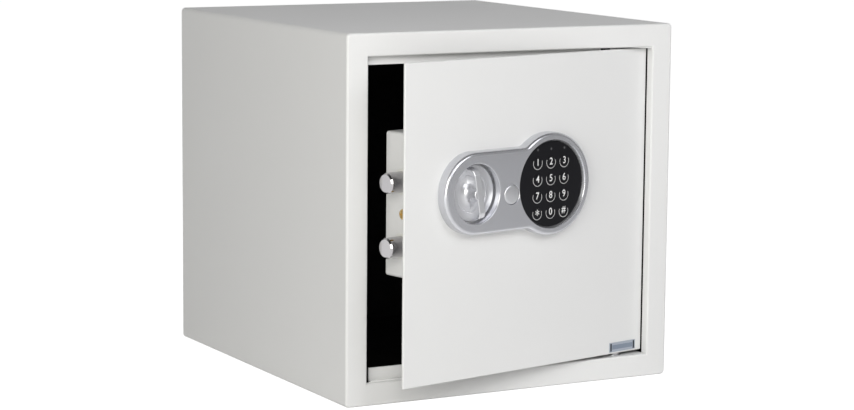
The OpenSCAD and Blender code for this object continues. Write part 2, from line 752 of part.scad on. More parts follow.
// One bolt, with a flat at its inner end for the carrier
module bolt(z) on_door() color(chrome) difference() {
    translate([tip_x, bolt_depth, z]) rotate([0, 90, 0]) rotate_extrude($fn = 96)
        polygon([[0, 0], [bolt_r - 1.5, 0], [bolt_r, 1.5], [bolt_r, bolt_l], [0, bolt_l]]);
    block([bolt_end_x - flat_l, carrier_y, z - bolt_r - 1], [bolt_end_x + 1, bolt_depth + bolt_r + 1, z + bolt_r + 1]);
    rod_y(screw_r + run_gap, carrier_y - 7, carrier_y + 1, bolt_end_x - flat_l / 2, z);
}

module upper_bolt() bolt(bolt_z[1]);
module lower_bolt() bolt(bolt_z[0]);

module bolt_bushes() on_door() color(nylon) for (z = bolt_z) difference() {
    union() {
        rod_x(bush_flange_r, box_x0 - 1.5, box_x0, bolt_depth, z);
        rod_x(bush_body_r, box_x0, box_x0 + bush_l, bolt_depth, z);
    }
    rod_x(bolt_r + run_gap, box_x0 - 3, box_x0 + bush_l + 1, bolt_depth, z);
}

module carrier_screws() on_door() color(steel) for (z = bolt_z) {
    rod_y(screw_r, carrier_y - carrier_screw_l, carrier_y + carrier_t, bolt_end_x - flat_l / 2, z);
    rod_y(screw_r + 2.5, carrier_y + carrier_t, carrier_y + carrier_t + 3, bolt_end_x - flat_l / 2, z);
}

module lock_cover() on_door() color(paint) difference() {
    translate([(box_x0 + box_x1) / 2, 0, (box_z0 + box_z1) / 2])
        along_y(door_t, box_depth) round_rect(box_x1 - box_x0, box_h, 3);
    block([box_x0 + box_wall, door_t - 1, box_z0 + box_wall],
        [box_x1 - box_wall, box_depth - box_wall, box_z1 - box_wall]);
    for (z = bolt_z) rod_x(bush_body_r + run_gap, box_x0 - 1, box_x0 + box_wall + 1, bolt_depth, z);
    rod_x(screw_r + run_gap, box_x0 - 1, box_x0 + box_wall + 1, side_screw_y, bolt_mid_z);
    rod_x(screw_r + run_gap, box_x1 - box_wall - 1, box_x1 + 1, side_screw_y, bolt_mid_z - side_screw_step);
    block([bay_x0 + lid_step, box_depth - 5, bay_z0 + lid_step],
        [bay_x1 - lid_step, box_depth + 1, bay_z0 + bay_h - lid_step]);
    rod_y(reset_r + free_gap, box_depth - 5, box_depth + 1, reset_x, reset_z);
}

module cover_screws() on_door() color(brass) {
    translate([box_x0, side_screw_y, bolt_mid_z]) rotate([0, -90, 0]) side_screw();
    translate([box_x1, side_screw_y, bolt_mid_z - side_screw_step]) rotate([0, 90, 0]) side_screw();
}

// A side screw along +Z, its head standing on the wall at Z = 0
module side_screw() difference() {
    union() {
        cylinder(r = side_screw_r, h = 1.6, $fn = 48);
        translate([0, 0, 1.6]) cylinder(r = side_screw_r - 1, h = 0.8, $fn = 48);
        translate([0, 0, -box_wall - chassis_t - 2]) cylinder(r = screw_r, h = box_wall + chassis_t + 2, $fn = 48);
    }
    translate([0, 0, 2.2]) cube([2 * side_screw_r - 3, 1, 2], center = true);
    translate([0, 0, 2.2]) cube([1, 2 * side_screw_r - 3, 2], center = true);
}

// Solenoid

module solenoid_frame() on_door() color(steel) {
    y0 = bolt_depth - sol_w / 2;
    y1 = bolt_depth + sol_w / 2;
    top_z = sol_z + sol_t + coil_h;
    difference() {
        union() {
            block([sol_x - sol_w / 2, y0, sol_z], [sol_x + sol_w / 2, y1, sol_z + sol_t]);
            block([sol_x - sol_w / 2, door_t, top_z], [sol_x + sol_w / 2, y1, top_z + sol_t]);
            block([sol_x - sol_w / 2, y1 - sol_t + 1, sol_z], [sol_x + sol_w / 2, y1 + 1, top_z + sol_t]);
            block([sol_x - sol_w / 2, door_t, top_z], [sol_x + sol_w / 2, door_t + sol_t, top_z + 9]);
        }
        translate([sol_x, bolt_depth, sol_z - 1]) cylinder(r = plunger_r + free_gap, h = sol_t + 2, $fn = 64);
    }
}

module solenoid_coil() on_door() color(copper) translate([sol_x, bolt_depth, sol_z + sol_t]) difference() {
    cylinder(r = coil_r, h = coil_h, $fn = 64);
    translate([0, 0, -1]) cylinder(r = plunger_r + free_gap, h = coil_h + 2, $fn = 64);
}

module solenoid_plunger() on_door() color(chrome) translate([sol_x, bolt_depth, 0]) {
    translate([0, 0, plunger_z0]) cylinder(r = plunger_r, h = sol_z + sol_t + coil_h - 5 - plunger_z0, $fn = 64);
    translate([0, 0, collar_z]) cylinder(r = plunger_r + 2.5, h = collar_h, $fn = 64);
}

spring_z0 = collar_z + collar_h + spring_wire;
spring_z1 = sol_z - spring_wire;
spring_path = [for (s = [0 : 8 * spring_turns])
    [sol_x + spring_r * cos(45 * s), bolt_depth + spring_r * sin(45 * s),
        spring_z0 + (spring_z1 - spring_z0) * s / (8 * spring_turns)]];

// Least gap between the curls of the spring
function curl_gap(p, w, apart) = min([for (i = [0 : len(p) - 1 - apart], j = [i + apart : len(p) - 1])
    norm(p[i] - p[j])]) - 2 * w;
echo(str("plunger spring, least gap between curls: ", curl_gap(spring_path, spring_wire, 5), " mm"));

module plunger_spring() on_door() color(steel) sweep(spring_path, spring_wire, 6, [0, 0, 1]);

// Supply and control

// The rim at the mouth of the holder carries the lid
module battery_holder() on_door() color(black) difference() {
    rim = lid_step + 1.5;
    block([bay_x0, bay_floor, bay_z0], [bay_x1, bay_y1, bay_z0 + bay_h]);
    block([bay_x0 + bay_wall, bay_floor + 1.5, bay_z0 + 1.5],
        [bay_x1 - bay_wall, bay_y1 - 1.5, bay_z0 + bay_h - 1.5]);
    block([bay_x0 + rim, bay_floor + 2, bay_z0 + rim], [bay_x1 - rim, bay_y1 + 1, bay_z0 + bay_h - rim]);
}

module batteries() on_door() color([0.35, 0.37, 0.40]) for (i = [0 : cells - 1])
    translate([bay_x0 + bay_wall + 0.3 + (i + 0.5) * cell_step, bay_floor + 1.5 + cell_r, bay_z0 + 1.5]) {
        cylinder(r = cell_r, h = cell_l, $fn = 48);
        translate([0, 0, cell_l]) cylinder(r = 2.5, h = 1, $fn = 32);
    }

module battery_lid() on_door() color(paint) along_y(box_depth - box_wall + 0.1, box_depth)
    rect(bay_x0 + lid_step + free_gap, bay_z0 + lid_step + free_gap,
        bay_x1 - lid_step - free_gap, bay_z0 + bay_h - lid_step - free_gap);

module control_board() on_door() color(board) {
    block([reset_x - main_board_w / 2, main_board_y, reset_z - main_board_h / 2],
        [reset_x + main_board_w / 2, main_board_y + board_t, reset_z + main_board_h / 2]);
    block([reset_x - 3.5, main_board_y + board_t, reset_z - 3.5],
        [reset_x + 3.5, reset_flange_y - 1.2 - reset_travel - 0.1, reset_z + 3.5]);
    for (sx = [-1, 1]) rod_y(2.5, main_board_y + board_t, box_depth - box_wall, reset_x + sx * post_dx, reset_z - post_dz);
}

module reset_button() on_door() color([0.65, 0.08, 0.07]) {
    rod_y(reset_r, reset_flange_y - 1.2, box_depth + reset_travel + 0.3, reset_x, reset_z);
    rod_y(reset_r + 1.2, reset_flange_y - 1.2, reset_flange_y, reset_x, reset_z);
}

module keypad_cable() on_door() color(black)
    sweep(spread(rounded(cable_route, cable_bend), cable_step), cable_r, 8, [0, 0, 1]);

body_shell();
rear_panel();
front_frame();
strike_channel();
hinge_plates();
hinge_bushes();
side_linings();
top_lining();
rear_lining();
floor_mat();
door_panel();
hinge_post();
hinge_pins();
label_plate();
escutcheon();
keypad_fascia();
indicator_lenses();
keypad_board();
key_switches();
key(0);  // key_1
key(1);  // key_2
key(2);  // key_3
key(3);  // key_4
key(4);  // key_5
key(5);  // key_6
key(6);  // key_7
key(7);  // key_8
key(8);  // key_9
key(9);  // key_star
key(10);  // key_0
key(11);  // key_hash
knob();
knob_spindle();
spindle_bush();
crank();
lock_cap();
lock_barrel();
lock_nut();
lock_rotor();
lock_cam();
lock_chassis();
guide_stud();
bolt_carrier();
upper_bolt();
lower_bolt();
bolt_bushes();
carrier_screws();
lock_cover();
cover_screws();
solenoid_frame();
solenoid_coil();
solenoid_plunger();
plunger_spring();
battery_holder();
batteries();
battery_lid();
control_board();
reset_button();
keypad_cable();
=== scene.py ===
import json
import math
import bmesh
import bpy
from mathutils import Matrix, Vector

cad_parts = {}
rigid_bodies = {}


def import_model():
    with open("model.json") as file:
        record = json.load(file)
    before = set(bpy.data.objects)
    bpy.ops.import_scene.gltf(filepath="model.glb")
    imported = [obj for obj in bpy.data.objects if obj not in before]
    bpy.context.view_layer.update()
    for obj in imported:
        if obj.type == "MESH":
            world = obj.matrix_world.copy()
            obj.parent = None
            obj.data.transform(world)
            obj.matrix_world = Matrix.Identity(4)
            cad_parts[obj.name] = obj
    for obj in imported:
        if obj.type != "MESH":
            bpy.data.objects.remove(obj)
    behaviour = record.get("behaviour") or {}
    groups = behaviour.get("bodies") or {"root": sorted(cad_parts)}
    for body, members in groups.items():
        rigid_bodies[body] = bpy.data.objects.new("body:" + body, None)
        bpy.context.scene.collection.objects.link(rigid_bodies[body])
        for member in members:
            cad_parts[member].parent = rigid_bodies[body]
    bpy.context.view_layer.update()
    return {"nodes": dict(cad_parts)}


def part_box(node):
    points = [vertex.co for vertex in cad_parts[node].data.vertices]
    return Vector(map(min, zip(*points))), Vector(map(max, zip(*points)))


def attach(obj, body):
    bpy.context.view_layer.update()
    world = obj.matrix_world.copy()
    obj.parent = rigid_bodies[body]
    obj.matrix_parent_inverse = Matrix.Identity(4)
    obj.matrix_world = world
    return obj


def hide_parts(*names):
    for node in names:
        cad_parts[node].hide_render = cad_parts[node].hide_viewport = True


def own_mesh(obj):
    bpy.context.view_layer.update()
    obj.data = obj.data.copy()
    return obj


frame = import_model()
nodes = frame["nodes"]
print("frame loaded:", len(nodes), "parts")

# The door as it stands in the frame: drawn closed, then swung about its hinge
doorPlace = {"hinge": (0.1285, -0.1855, 0), "faceDepth": -0.194, "openDegrees": 12}
hinge = Vector(doorPlace["hinge"])
doorSpace = (Matrix.Translation(hinge) @ Matrix.Rotation(math.radians(doorPlace["openDegrees"]), 4, "Z")
             @ Matrix.Translation(Vector((0, doorPlace["faceDepth"], 0)) - hinge))

# Places on the closed door, and depths counted from its face
knobX, knobZ = -0.0775, 0.2076
padX, padZ = 0.0205, 0.2093
capX, capZ = -0.0331, 0.2033
coverRise = 0.0118     # the escutcheon's front, over the door
fasciaDrop = 0.0030    # the keypad fascia, below that front
keyRise = 0.0002       # the keys, over the fascia
keyFront = fasciaDrop - keyRise - coverRise     # depth of the key faces

mergeGap = 1e-6        # vertices closer than this become one
poleRadius = 1e-5      # where a turned profile starts beside its axis
flatDegrees = 0.5      # faces that meet at less than this are one flat face
facing = 0.9           # a face whose normal has this share along an axis faces that way

# Camera, solved from the outline of the safe in the photo
cameraValues = {"place": (-1.2529, -2.3274, 0.5401), "azimuth": 28.51, "fall": 8.17, "roll": 0.49,
                "lens": 107.1, "sensor": 36.0, "farthest": 20}


def makeCamera(v):
    az, el, roll = (math.radians(v[k]) for k in ("azimuth", "fall", "roll"))
    ahead = Vector((math.sin(az) * math.cos(el), math.cos(az) * math.cos(el), -math.sin(el)))
    right = Vector((math.cos(az), -math.sin(az), 0))
    up = right.cross(ahead)
    turned = math.cos(roll) * right + math.sin(roll) * up
    up = -math.sin(roll) * right + math.cos(roll) * up
    camera = bpy.data.objects.new("photoCamera", bpy.data.cameras.new("photoCamera"))
    bpy.context.scene.collection.objects.link(camera)
    camera.matrix_world = Matrix((turned, up, -ahead)).transposed().to_4x4()
    camera.location = v["place"]
    camera.data.sensor_fit = "HORIZONTAL"
    camera.data.sensor_width = v["sensor"]
    camera.data.lens = v["lens"]
    camera.data.clip_end = v["farthest"]
    bpy.context.scene.camera = camera


makeCamera(cameraValues)
print("camera placed")


# Shader groups: each takes a colour and a few values, and gives colour, roughness and height
def newGroup(name, inputs):
    group = bpy.data.node_groups.new(name, "ShaderNodeTree")
    for label, kind, value in inputs:
        socket = group.interface.new_socket(label, in_out="INPUT", socket_type="NodeSocket" + kind)
        socket.default_value = value
    for label, kind in (("Color", "Color"), ("Roughness", "Float"), ("Height", "Float")):
        group.interface.new_socket(label, in_out="OUTPUT", socket_type="NodeSocket" + kind)
    return group, group.nodes.new("NodeGroupInput"), group.nodes.new("NodeGroupOutput")


def addNode(tree, kind, values=(), **settings):
    node = tree.nodes.new(kind)
    for key, value in settings.items():
        setattr(node, key, value)
    for key, value in dict(values).items():
        node.inputs[key].default_value = value
    return node


# A texture on Object coordinates, or on the vector that is handed in
def addTexture(tree, kind, values, place=None):
    node = addNode(tree, "ShaderNodeTex" + kind, values)
    place = place or addNode(tree, "ShaderNodeTexCoord").outputs["Object"]
    tree.links.new(place, node.inputs["Vector"])
    return node


def mathNode(tree, operation, first, second):
    node = addNode(tree, "ShaderNodeMath", operation=operation)
    for socket, value in zip(node.inputs, (first, second)):
        if isinstance(value, (int, float)):
            socket.default_value = value
        else:
            tree.links.new(value, socket)
    return node.outputs[0]


# How far a texture swings from its middle tone, times a share
def swing(tree, output, share):
    return mathNode(tree, "MULTIPLY", mathNode(tree, "SUBTRACT", output, 0.5), share)


# The group's colour, lighter and darker by a drift about zero
def driftColour(tree, given, result, drift):
    tint = addNode(tree, "ShaderNodeHueSaturation")
    tree.links.new(mathNode(tree, "ADD", drift, 1.0), tint.inputs["Value"])
    tree.links.new(given.outputs["Color"], tint.inputs["Color"])
    tree.links.new(tint.outputs[0], result.inputs["Color"])


# Sprayed or baked coat: soft waves, a fine peel and a slight drift in tone
coatLook = {"waveScale": 9.0, "speckScale": 2600.0, "roughShare": 0.12, "peelShare": 0.8, "speckShare": 0.2}


def makeCoatGroup(v):
    tree, given, result = newGroup("sprayedCoat", [
        ("Color", "Color", (0.8, 0.8, 0.8, 1)), ("Peel Scale", "Float", 900.0),
        ("Drift", "Float", 0.03), ("Roughness", "Float", 0.45)])
    peel = addTexture(tree, "Noise", {"Detail": 2.0, "Roughness": 0.6})
    wave = addTexture(tree, "Noise", {"Scale": v["waveScale"], "Detail": 3.0})
    speck = addTexture(tree, "Noise", {"Scale": v["speckScale"], "Detail": 1.0})
    tree.links.new(given.outputs["Peel Scale"], peel.inputs["Scale"])
    drift = swing(tree, wave.outputs[0], given.outputs["Drift"])
    grain = swing(tree, speck.outputs[0], given.outputs["Drift"])
    driftColour(tree, given, result, mathNode(tree, "ADD", drift, grain))
    uneven = swing(tree, wave.outputs[0], v["roughShare"])
    tree.links.new(mathNode(tree, "ADD", given.outputs["Roughness"], uneven), result.inputs["Roughness"])
    peelHeight = mathNode(tree, "MULTIPLY", peel.outputs[0], v["peelShare"])
    speckHeight = mathNode(tree, "MULTIPLY", speck.outputs[0], v["speckShare"])
    tree.links.new(mathNode(tree, "ADD", peelHeight, speckHeight), result.inputs["Height"])
    return tree


# Metal drawn or turned in one direction: fine lines and a little handling haze
brushLook = {"lineScale": 700.0, "hazeScale": 60.0, "toneShare": 0.8}


def makeBrushGroup(v):
    tree, given, result = newGroup("drawnMetal", [
        ("Color", "Color", (0.7, 0.7, 0.7, 1)), ("Along", "Vector", (1.0, 1.0, 1.0)),
        ("Roughness", "Float", 0.3), ("Haze", "Float", 0.1)])
    stretch = addNode(tree, "ShaderNodeVectorMath", operation="MULTIPLY")
    tree.links.new(addNode(tree, "ShaderNodeTexCoord").outputs["Object"], stretch.inputs[0])
    tree.links.new(given.outputs["Along"], stretch.inputs[1])
    lines = addTexture(tree, "Noise", {"Scale": v["lineScale"], "Detail": 4.0, "Roughness": 0.7},
        stretch.outputs[0])
    haze = addTexture(tree, "Noise", {"Scale": v["hazeScale"], "Detail": 3.0})
    both = mathNode(tree, "MULTIPLY", mathNode(tree, "ADD", lines.outputs[0], haze.outputs[0]), 0.5)
    spread = swing(tree, both, given.outputs["Haze"])
    tree.links.new(mathNode(tree, "ADD", given.outputs["Roughness"], spread), result.inputs["Roughness"])
    driftColour(tree, given, result, mathNode(tree, "MULTIPLY", spread, v["toneShare"]))
    tree.links.new(lines.outputs[0], result.inputs["Height"])
    return tree


# Moulded plastic: spark-eroded grain with faint flow marks
grainLook = {"flowScale": 35.0}


def makeGrainGroup(v):
    tree, given, result = newGroup("mouldedGrain", [
        ("Color", "Color", (0.1, 0.1, 0.1, 1)), ("Grain Scale", "Float", 1500.0),
        ("Roughness", "Float", 0.5), ("Flow", "Float", 0.06)])
    grain = addTexture(tree, "Voronoi", {"Randomness": 1.0})
    flow = addTexture(tree, "Noise", {"Scale": v["flowScale"], "Detail": 4.0})
    tree.links.new(given.outputs["Grain Scale"], grain.inputs["Scale"])
    drift = swing(tree, flow.outputs[0], given.outputs["Flow"])
    driftColour(tree, given, result, drift)
    tree.links.new(mathNode(tree, "ADD", given.outputs["Roughness"], drift), result.inputs["Roughness"])
    tree.links.new(grain.outputs["Distance"], result.inputs["Height"])
    return tree


coatGroup = makeCoatGroup(coatLook)
brushGroup = makeBrushGroup(brushLook)
grainGroup = makeGrainGroup(grainLook)
print("shader groups made")


# Materials
def newMaterial(name):
    material = bpy.data.materials.new(name)
    material.use_nodes = True
    return material, material.node_tree, material.node_tree.nodes["Principled BSDF"]


# Places a shader group in a material; depth is that of its bumps in metres
def placeGroup(tree, shader, group, values, bump, depth):
    box = addNode(tree, "ShaderNodeGroup", values, node_tree=group)
    relief = addNode(tree, "ShaderNodeBump", {"Strength": bump, "Distance": depth})
    tree.links.new(box.outputs["Height"], relief.inputs["Height"])
    tree.links.new(relief.outputs[0], shader.inputs["Normal"])
    tree.links.new(box.outputs["Color"], shader.inputs["Base Color"])
    tree.links.new(box.outputs["Roughness"], shader.inputs["Roughness"])


def paintMaterial(name, colour, rough, peel, drift, bump, metallic=0.0, coat=0.0):
    material, tree, shader = newMaterial(name)
    values = {"Color": (*colour, 1), "Peel Scale": peel, "Drift": drift, "Roughness": rough}
    placeGroup(tree, shader, coatGroup, values, bump, depth=0.0004)
    shader.inputs["Metallic"].default_value = metallic
    shader.inputs["Coat Weight"].default_value = coat
    shader.inputs["Coat Roughness"].default_value = 0.3
    return material


def metalMaterial(name, colour, rough, haze, along=(1.0, 1.0, 1.0), bump=0.08):
    material, tree, shader = newMaterial(name)
    values = {"Color": (*colour, 1), "Along": along, "Roughness": rough, "Haze": haze}
    placeGroup(tree, shader, brushGroup, values, bump, depth=0.0002)
    shader.inputs["Metallic"].default_value = 1.0
    return material


def plasticMaterial(name, colour, rough, scale=1500.0, bump=0.15, flow=0.06, gloss=0.5):
    material, tree, shader = newMaterial(name)
    values = {"Color": (*colour, 1), "Grain Scale": scale, "Roughness": rough, "Flow": flow}
    placeGroup(tree, shader, grainGroup, values, bump, depth=0.0002)
    shader.inputs["Specular IOR Level"].default_value = gloss
    return material


# Black felt lining: a felt whose near-black tone also stands in for the shade deep inside the safe, so it is
# partly painted shade
feltShadeLook = {"colour": (0.018, 0.017, 0.018), "fibreScale": 1400.0, "tuftScale": 320.0, "tuftShare": 0.5,
            "darkest": 0.4, "palest": 1.6, "bump": 0.7, "depth": 0.0008, "gloss": 0.1}


def feltMaterial(name, v):
    material, tree, shader = newMaterial(name)
    fibres = addTexture(tree, "Noise",
        {"Scale": v["fibreScale"], "Detail": 6.0, "Roughness": 0.8, "Distortion": 1.5})
    tufts = addTexture(tree, "Voronoi", {"Scale": v["tuftScale"], "Randomness": 1.0})
    tuftHeight = mathNode(tree, "MULTIPLY", tufts.outputs["Distance"], v["tuftShare"])
    relief = addNode(tree, "ShaderNodeBump", {"Strength": v["bump"], "Distance": v["depth"]})
    tree.links.new(mathNode(tree, "ADD", fibres.outputs[0], tuftHeight), relief.inputs["Height"])
    tree.links.new(relief.outputs[0], shader.inputs["Normal"])
    tone = addNode(tree, "ShaderNodeValToRGB")
    for stop, level in zip(tone.color_ramp.elements, (v["darkest"], v["palest"])):
        stop.color = (*[c * level for c in v["colour"]], 1)
    tree.links.new(fibres.outputs[0], tone.inputs[0])
    tree.links.new(tone.outputs[0], shader.inputs["Base Color"])
    shader.inputs["Roughness"].default_value = 1.0
    shader.inputs["Specular IOR Level"].default_value = v["gloss"]
    return material


whitePaint = paintMaterial("whitePowderCoat", (0.80, 0.80, 0.80), rough=0.50, peel=620.0, drift=0.02,
    bump=0.10)
silverPaint = paintMaterial("silverLacquer", (0.62, 0.625, 0.66), rough=0.23, peel=1500.0, drift=0.06,
    bump=0.04, metallic=0.78, coat=0.1)
knobPaint = paintMaterial("knobLacquer", (0.70, 0.705, 0.73), rough=0.27, peel=1500.0, drift=0.06,
    bump=0.04, metallic=0.74, coat=0.1)
labelFilm = paintMaterial("labelFilm", (0.42, 0.46, 0.53), rough=0.32, peel=2500.0, drift=0.12,
    bump=0.03, metallic=0.5)
# Chrome with its base colour set darker than bright chrome: painted shade for the dark room it reflects
chromeDarkenedForShade = metalMaterial("chromeWithPaintedShade", (0.46, 0.45, 0.46), rough=0.09, haze=0.05, bump=0.01)
zincMetal = metalMaterial("zincPlate", (0.56, 0.57, 0.59), rough=0.34, haze=0.25, along=(1.0, 1.0, 6.0))
brassMetal = metalMaterial("plainBrass", (0.66, 0.48, 0.20), rough=0.28, haze=0.2)
copperMetal = metalMaterial("copperWinding", (0.60, 0.25, 0.11), rough=0.35, haze=0.2,
    along=(0.3, 0.3, 6.0), bump=0.4)
fasciaPlastic = plasticMaterial("blackFascia", (0.0035, 0.0035, 0.0055), rough=0.30, scale=2200.0,
    bump=0.03, flow=0.10, gloss=0.3)
blackPlastic = plasticMaterial("blackPlastic", (0.018, 0.018, 0.019), rough=0.5)
whiteNylon = plasticMaterial("whiteNylon", (0.78, 0.78, 0.75), rough=0.42, scale=1800.0, bump=0.06, flow=0.04)
redPlastic = plasticMaterial("redPlastic", (0.42, 0.02, 0.015), rough=0.3, scale=1800.0, bump=0.05)
lensPlastic = plasticMaterial("lampLens", (0.10, 0.10, 0.105), rough=0.18, scale=2200.0, bump=0.02)
boardPlastic = plasticMaterial("circuitBoard", (0.015, 0.10, 0.04), rough=0.35, scale=700.0,
    bump=0.2, flow=0.2)
cableRubber = plasticMaterial("cableSleeve", (0.02, 0.02, 0.02), rough=0.6, scale=900.0, bump=0.1)
cellSleeve = plasticMaterial("cellSleeve", (0.10, 0.11, 0.13), rough=0.3, scale=1200.0, bump=0.03)
whiteInk = plasticMaterial("whiteInk", (0.88, 0.88, 0.88), rough=0.5, scale=3000.0, bump=0.03, flow=0.02)
labelInk = plasticMaterial("labelInk", (0.012, 0.018, 0.03), rough=0.45, scale=3000.0, bump=0.03, flow=0.05)
bandInk = plasticMaterial("bandInk", (0.22, 0.26, 0.33), rough=0.45, scale=3000.0, bump=0.03, flow=0.25)
feltWithPaintedShade = feltMaterial("blackFeltWithPaintedShade", feltShadeLook)

# What the parts that keep their CAD shape are made of
keyNames = ["1", "2", "3", "4", "5", "6", "7", "8", "9", "star", "0", "hash"]
finishes = {
    whitePaint: ["rear_panel", "strike_channel", "hinge_plates", "hinge_post", "battery_lid"],
    labelFilm: ["label_plate"],
    zincMetal: ["hinge_bushes", "knob_spindle", "crank", "lock_nut", "lock_cam", "lock_chassis", "guide_stud",
                "bolt_carrier", "carrier_screws", "solenoid_frame", "key_switches"],
    chromeDarkenedForShade: ["upper_bolt", "lower_bolt", "hinge_pins", "lock_barrel", "solenoid_plunger"],
    brassMetal: ["cover_screws", "lock_rotor"],
    copperMetal: ["solenoid_coil"],
    fasciaPlastic: ["keypad_fascia"] + ["key_" + name for name in keyNames],
    blackPlastic: ["battery_holder"],
    whiteNylon: ["spindle_bush", "bolt_bushes"],
    redPlastic: ["reset_button"],
    lensPlastic: ["indicator_lenses"],
    boardPlastic: ["keypad_board", "control_board"],
    cableRubber: ["keypad_cable"],
    cellSleeve: ["batteries"],
    feltWithPaintedShade: ["side_linings", "top_lining", "rear_lining", "floor_mat"],
}

for material, names in finishes.items():
    for name in names:
        nodes[name].data.materials.clear()
        nodes[name].data.materials.append(material)
print("parts dressed:", sum(len(names) for names in finishes.values()))


# Puts a bmesh into the scene as an object, and frees it
def placeMesh(name, bm):
    mesh = bpy.data.meshes.new(name)
    bm.to_mesh(mesh)
    bm.free()
    placed = bpy.data.objects.new(name, mesh)
    bpy.context.scene.collection.objects.link(placed)
    return placed


# An object's mesh with its modifiers worked in
def bakedMesh(placed):
    depsgraph = bpy.context.evaluated_depsgraph_get()
    return bpy.data.meshes.new_from_object(placed.evaluated_get(depsgraph))


# Takes an object out of the scene and hands back its baked mesh as a bmesh
def takeBack(placed):
    mesh = bakedMesh(placed)
    bm = bmesh.new()
    bm.from_mesh(mesh)
    bpy.data.batch_remove([placed, placed.data, mesh])
    return bm


# Smooth shading that keeps flat faces flat beside the rounded edges
def settleNormals(piece, sharp):
    piece.data.shade_smooth()
    piece.data.set_sharp_from_angle(angle=math.radians(sharp))
    even = piece.modifiers.new("evenNormals", "WEIGHTED_NORMAL")
    even.keep_sharp = True
    even.weight = 80     # large faces lead
    rough = piece.data
    piece.data = bakedMesh(piece)
    piece.modifiers.clear()
    bpy.data.meshes.remove(rough)
    piece.data.name = piece.name


def finishPiece(name, bm, material, body, onDoor=True, sharp=32.0, replaces=()):
    if onDoor:
        bmesh.ops.transform(bm, matrix=doorSpace, verts=bm.verts)
    piece = placeMesh(name, bm)
    piece.data.materials.append(material)
    settleNormals(piece, sharp)
    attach(piece, body)
    if replaces:
        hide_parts(*replaces)
    return piece


# A merged copy of a CAD part's mesh, put back on the closed door, with its flat faces whole again
def copyPart(name):
    bm = bmesh.new()
    bm.from_mesh(nodes[name].data)
    bmesh.ops.remove_doubles(bm, verts=bm.verts, dist=mergeGap)
    bmesh.ops.transform(bm, matrix=doorSpace.inverted(), verts=bm.verts)
    bmesh.ops.dissolve_limit(bm, angle_limit=math.radians(flatDegrees), verts=bm.verts, edges=bm.edges)
    return bm


# Tests that pick vertices and edges by where they are
def near(a, b, slack=2e-5):
    return abs(a - b) < slack


def between(low, value, high, slack=1e-4):
    return low - slack < value < high + slack


def bothEnds(edge, test):
    return all(test(v.co) for v in edge.verts)


# Edges whose ends both pass a test, between two faces that meet at more than an angle in radians
def cornerEdges(bm, test, angle):
    return [e for e in bm.edges if bothEnds(e, test) and e.calc_face_angle(0) > angle]


def vertsIn(geom):
    return [g for g in geom if isinstance(g, bmesh.types.BMVert)]


# Lowest and highest corner
def cornersOf(bm):
    return [Vector([pick(v.co[i] for v in bm.verts) for i in range(3)]) for pick in (min, max)]


def bevelEdges(bm, edges, offset, segments):
    bmesh.ops.bevel(bm, geom=edges, offset=offset, offset_type="OFFSET", segments=segments, profile=0.5,
        affect="EDGES", clamp_overlap=True, material=-1)


# An arc swept from a start point about an axis along Y, counted anticlockwise as seen from the front
def sweepArc(bm, centre, radius, startDegrees, degrees, steps):
    start = math.radians(startDegrees)
    first = bm.verts.new((centre[0] + radius * math.cos(start), 0, centre[1] + radius * math.sin(start)))
    bmesh.ops.spin(bm, geom=[first], cent=(centre[0], 0, centre[1]), axis=(0, -1, 0),
        angle=math.radians(degrees), steps=steps, use_duplicate=False)


# Turns a profile of (radius, depth) points about an axis along Y
def turnProfile(bm, centre, profile, steps):
    verts = [bm.verts.new((centre[0] + r, d, centre[1])) for r, d in profile]
    edges = [bm.edges.new(pair) for pair in zip(verts, verts[1:])]
    bmesh.ops.spin(bm, geom=verts + edges, cent=(centre[0], 0, centre[1]), axis=(0, -1, 0),
        angle=2 * math.pi, steps=steps, use_merge=True, use_duplicate=False)
    bmesh.ops.remove_doubles(bm, verts=bm.verts, dist=mergeGap)
    bmesh.ops.recalc_face_normals(bm, faces=bm.faces)


def addBox(bm, low, high):
    made = bmesh.ops.create_cube(bm, size=1)["verts"]
    bmesh.ops.scale(bm, vec=[b - a for a, b in zip(low, high)], verts=made)
    bmesh.ops.translate(bm, vec=[(a + b) / 2 for a, b in zip(low, high)], verts=made)


# A rod along Y, from its front to its back; with frontRadius it widens towards the front
def addRod(bm, centre, radius, front, back, steps, frontRadius=None):
    made = bmesh.ops.create_cone(bm, cap_ends=True, segments=steps, radius1=radius,
        radius2=frontRadius or radius, depth=back - front)["verts"]
    bmesh.ops.rotate(bm, cent=(0, 0, 0), matrix=Matrix.Rotation(math.radians(90), 3, "X"), verts=made)
    bmesh.ops.translate(bm, vec=(centre[0], (front + back) / 2, centre[1]), verts=made)


# Cuts one bmesh with another and hands back the result
def cutBy(bm, cutter):
    blank, tool = placeMesh("blank", bm), placeMesh("tool", cutter)
    cut = blank.modifiers.new("cut", "BOOLEAN")
    cut.operation = "DIFFERENCE"
    cut.solver = "EXACT"
    cut.object = tool
    result = takeBack(blank)
    bmesh.ops.remove_doubles(result, verts=result.verts, dist=2 * mergeGap)
    bpy.data.batch_remove([tool, tool.data])
    return result


# Cabinet: one folded sheet with its face rails, returns and stops
cabinet = {"width": 0.366, "height": 0.360, "front": -0.198, "back": 0.196, "rail": 0.023, "sheet": 0.0018,
           "longBend": 0.0045, "faceBend": 0.0032, "openingBend": 0.0024, "stopBend": 0.0012,
           "returnDepth": 0.0093, "stopHigh": 0.0082, "stopLow": 0.0125, "cornerGap": 0.0065,
           "hingeCut": 0.104, "cutFrom": 0.002, "anchorRadius": 0.006, "anchorPitch": 0.200,
           "anchorSides": 48, "drillLength": 0.02}


